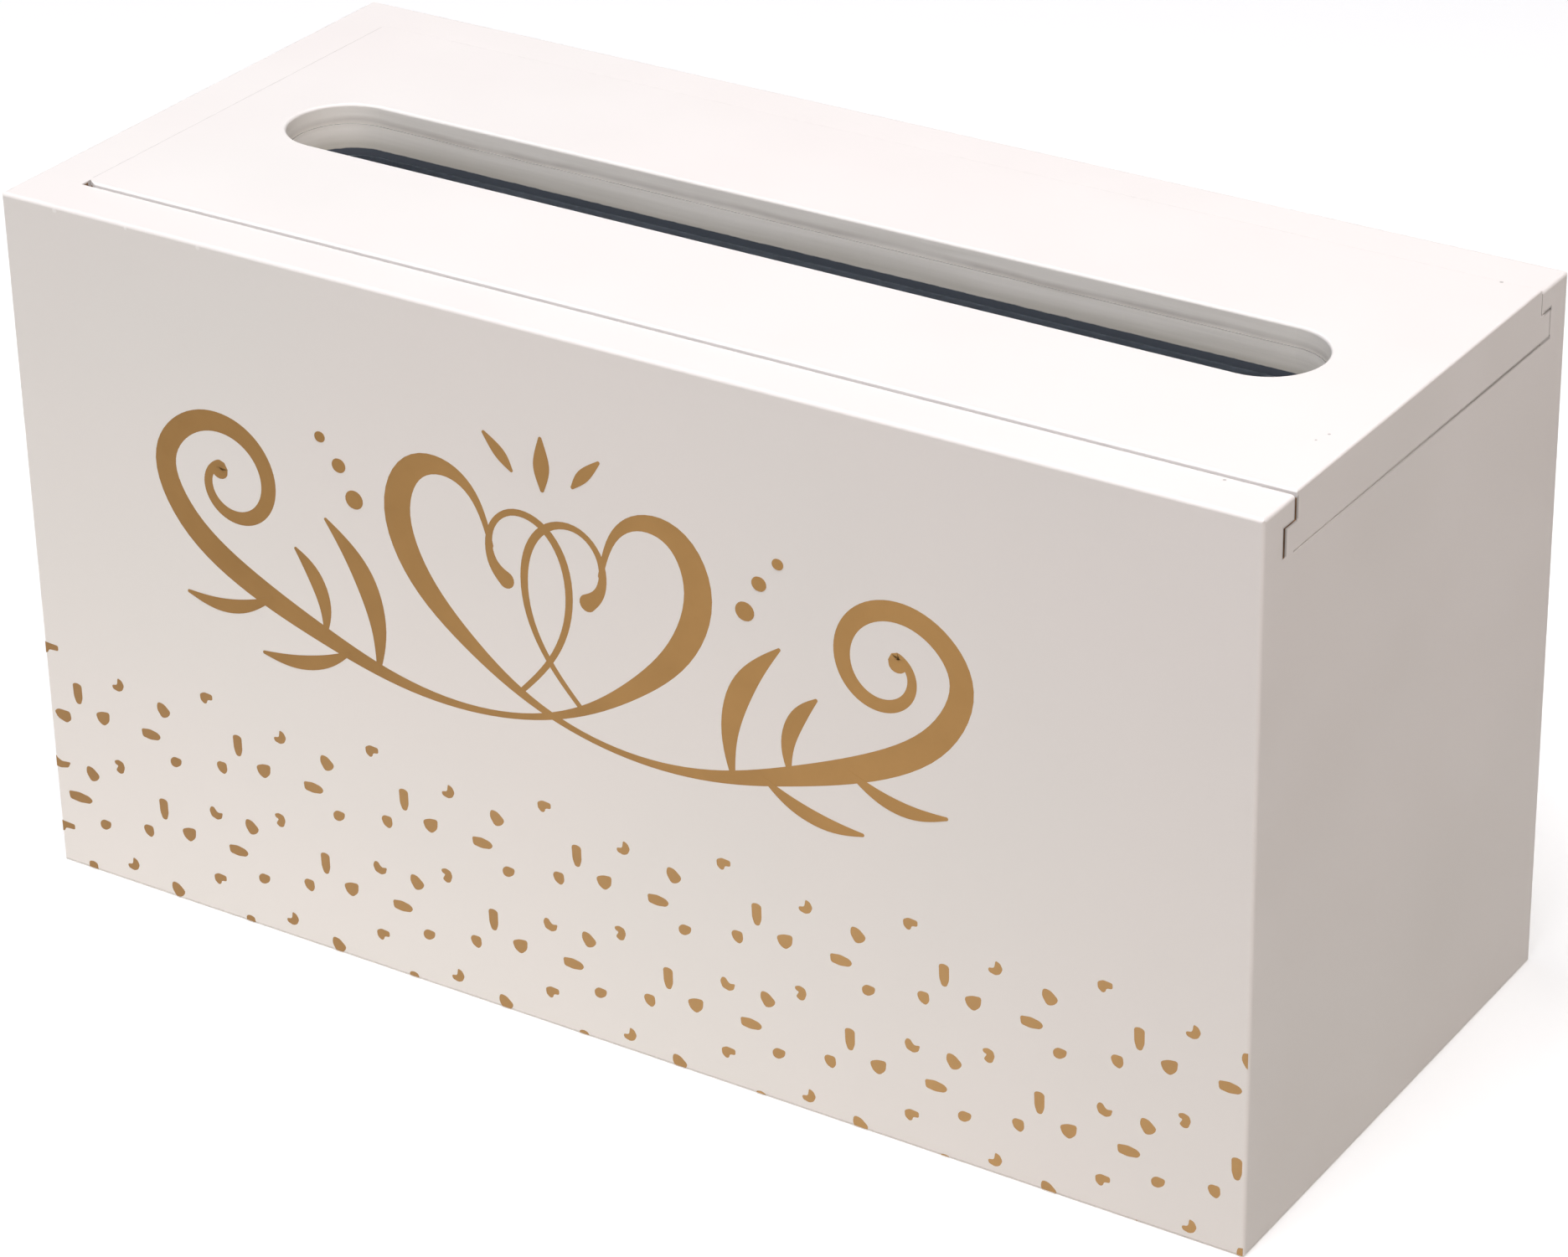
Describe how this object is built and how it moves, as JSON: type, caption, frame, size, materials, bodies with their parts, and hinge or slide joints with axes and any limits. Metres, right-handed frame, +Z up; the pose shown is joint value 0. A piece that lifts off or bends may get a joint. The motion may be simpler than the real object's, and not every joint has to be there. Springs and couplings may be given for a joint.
{
  "type": "card box",
  "caption": "Rectangular box of painted boards that takes wedding cards through a long round-ended slot in a lid which slides out at one end.",
  "frame": {"origin": "middle of the underside of the box, on the surface it stands on", "axes": "+X along the front to the end where the lid slides out, +Y from the printed front to the back, +Z up"},
  "size_m": [0.3, 0.13, 0.1631],
  "materials": {
    "painted_board": "satin white paint on fibreboard",
    "bottom_board": "dark inside, painted white underneath",
    "lid_board": "satin white paint on fibreboard, bare on the tongue",
    "brad_wire": "bright wire"
  },
  "bodies": {
    "box": {"front_panel": "painted_board", "back_panel": "painted_board", "left_end_panel": "painted_board", "right_end_panel": "painted_board", "bottom_panel": "bottom_board", "corner_brads": "brad_wire", "bottom_brads": "brad_wire"},
    "lid": {"lid": "lid_board"}
  },
  "joints": [
    {"name": "lid_slide", "type": "slide", "parent": "box", "child": "lid", "axis": [1, 0, 0], "range_m": [0, 0.295]}
  ]
}
